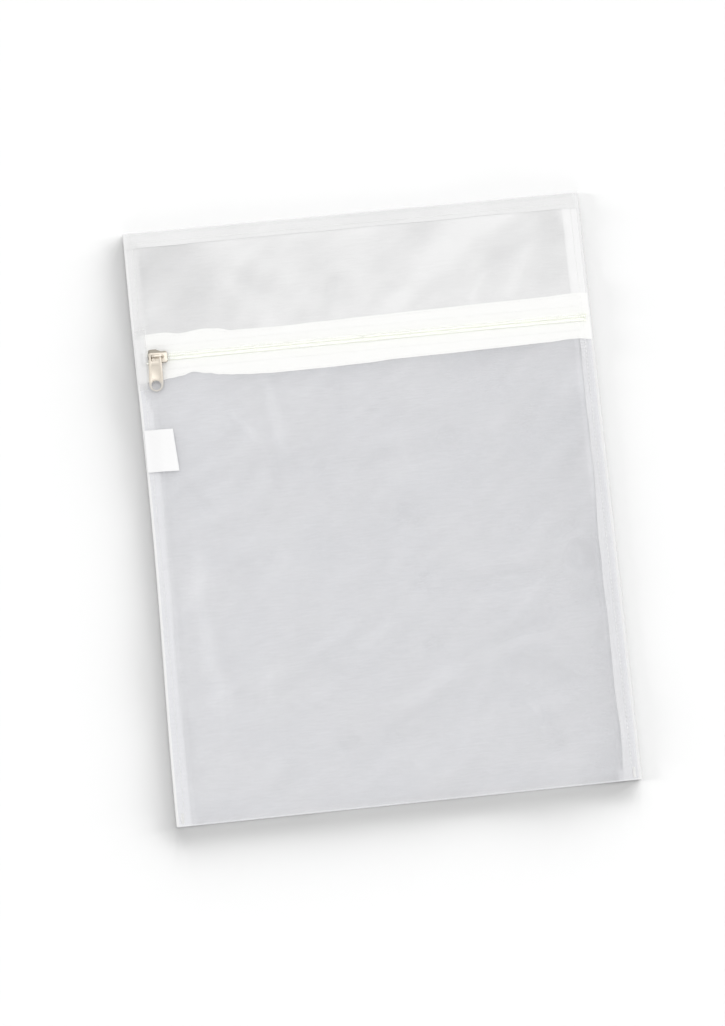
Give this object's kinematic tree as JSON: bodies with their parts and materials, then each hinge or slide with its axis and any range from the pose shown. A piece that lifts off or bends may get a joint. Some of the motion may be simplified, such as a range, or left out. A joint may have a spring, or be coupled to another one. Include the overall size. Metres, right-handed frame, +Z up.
{
  "type": "mesh laundry bag",
  "caption": "Flat rectangular mesh bag for washing delicates, with a coil zip across the front near its top edge, a sliding puller and a care label in the side seam.",
  "frame": {"origin": "middle of the bag's footprint, on the surface that it lies on", "axes": "+X along the zip, away from the closed end; +Y from the bottom fold to the top edge; +Z up, out of the front"},
  "size_m": [0.35, 0.45, 0.0154],
  "materials": {
    "mesh_cloth": "matte",
    "seam_cloth": "matte",
    "zip_tape": "matte",
    "coil_nylon": "satin",
    "core_cord": "matte",
    "thread": "matte",
    "plated_metal": "polished",
    "label_cloth": "matte"
  },
  "bodies": {
    "bag": {"body_panel": "mesh_cloth", "left_side_seam": "seam_cloth", "right_side_seam": "seam_cloth", "top_seam": "seam_cloth", "zip_tape_lower": "zip_tape", "upper_tape_left_end": "zip_tape", "upper_tape_right_end": "zip_tape", "coil_lower": "coil_nylon", "core_lower": "core_cord", "left_seam_stitching": "thread", "right_seam_stitching": "thread", "top_seam_stitching": "thread", "left_bottom_tack": "thread", "right_bottom_tack": "thread", "lower_tape_stitching": "thread", "coil_stitch_lower": "thread"},
    "flap": {"upper_front_panel": "mesh_cloth", "zip_tape_upper": "zip_tape", "upper_tape_stitching": "thread", "coil_upper": "coil_nylon", "core_upper": "core_cord", "coil_stitch_upper": "thread"},
    "slider": {"slider_body": "plated_metal"},
    "puller": {"pull_tab": "plated_metal"},
    "label": {"care_label": "label_cloth"}
  },
  "joints": [
    {"name": "zip_slide", "type": "slide", "parent": "bag", "child": "slider", "axis": [1, 0, 0], "range_m": [0, 0.312], "deforming": ["coil_lower", "core_lower", "coil_upper", "core_upper", "coil_stitch_upper", "zip_tape_upper"]},
    {"name": "mouth_lift", "type": "hinge", "parent": "bag", "child": "flap", "pos_m": [0, 0.214, 0.0052], "axis": [-1, 0, 0], "range_deg": [0, 30]},
    {"name": "puller_lift", "type": "hinge", "parent": "slider", "child": "puller", "pos_m": [-0.1578, 0.12885, 0.01241], "axis": [-0.9981, 0.061, 0], "range_deg": [0, 32]},
    {"name": "label_fold", "type": "hinge", "parent": "bag", "child": "label", "pos_m": [-0.172, 0.057, 0.00605], "axis": [0, -1, 0], "range_deg": [0, 150]}
  ],
  "couplings": [
    {"joint": "mouth_lift", "follows": "zip_slide", "rad_per_m": 1.6781}
  ]
}
